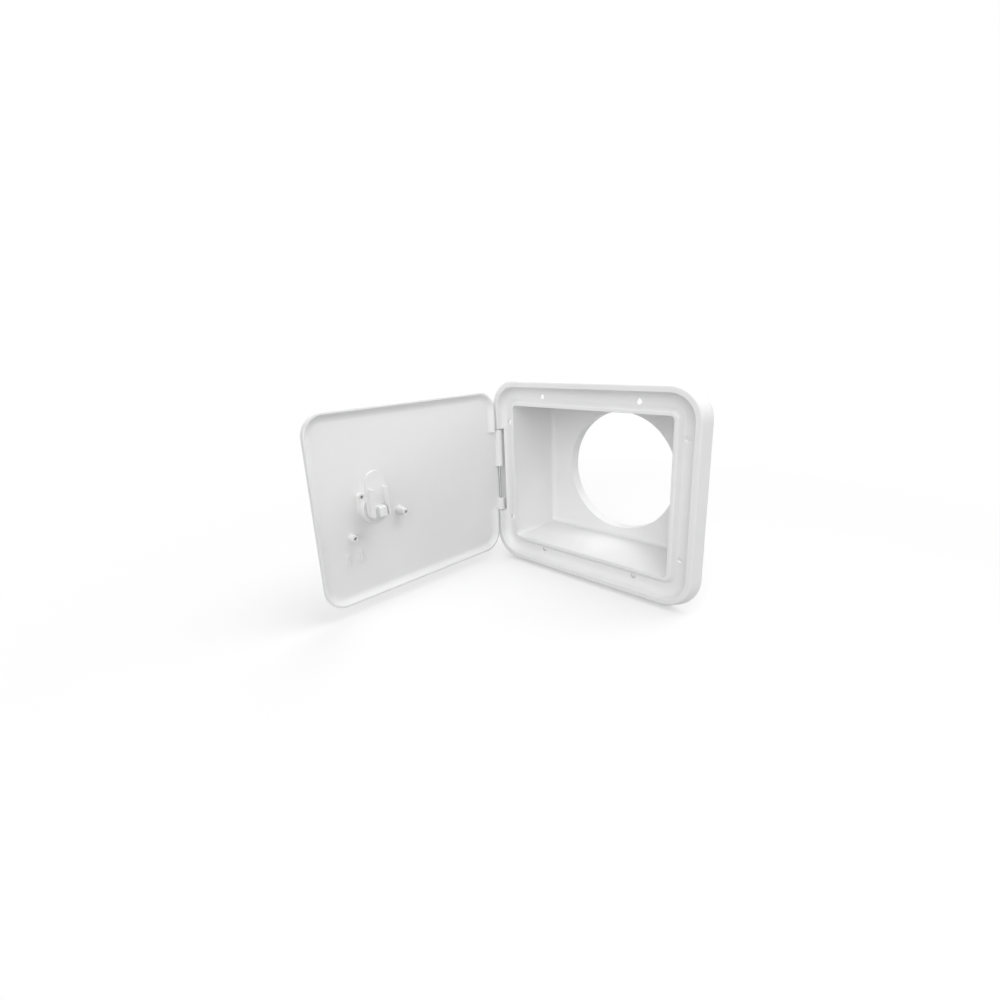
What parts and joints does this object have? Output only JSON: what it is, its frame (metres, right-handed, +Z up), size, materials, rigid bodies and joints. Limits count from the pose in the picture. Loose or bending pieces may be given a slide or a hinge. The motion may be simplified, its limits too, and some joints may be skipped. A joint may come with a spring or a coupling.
{
  "type": "sewer hose storage hatch",
  "caption": "Side-hinged plastic access hatch for a caravan wall: screw flange, recessed door with a turn latch, and a hose box with a round tube collar behind.",
  "frame": {"origin": "on the plane of the flange's back face, where it seats on the wall, at the centre of the opening", "axes": "+X to the right seen from outside, +Y into the wall, +Z up"},
  "size_m": [0.2609, 0.3154, 0.2146],
  "materials": {
    "white_plastic": "satin",
    "steel": "satin"
  },
  "bodies": {
    "frame": {"frame": "white_plastic", "hose_box": "white_plastic", "hinge_pin": "steel"},
    "door": {"door": "white_plastic", "latch_housing": "white_plastic", "latch_bezel": "white_plastic"},
    "latch": {"thumb_turn": "white_plastic", "latch_tongue": "white_plastic"}
  },
  "joints": [
    {"name": "door_hinge", "type": "hinge", "parent": "frame", "child": "door", "pos_m": [-0.1188, -0.0087, 0], "axis": [0, 0, -1], "range_deg": [-92, 58]},
    {"name": "latch_turn", "type": "hinge", "parent": "door", "child": "latch", "pos_m": [-0.12493, -0.18419, -0.0012], "axis": [0.9994, -0.0349, 0], "range_deg": [0, 90]}
  ]
}
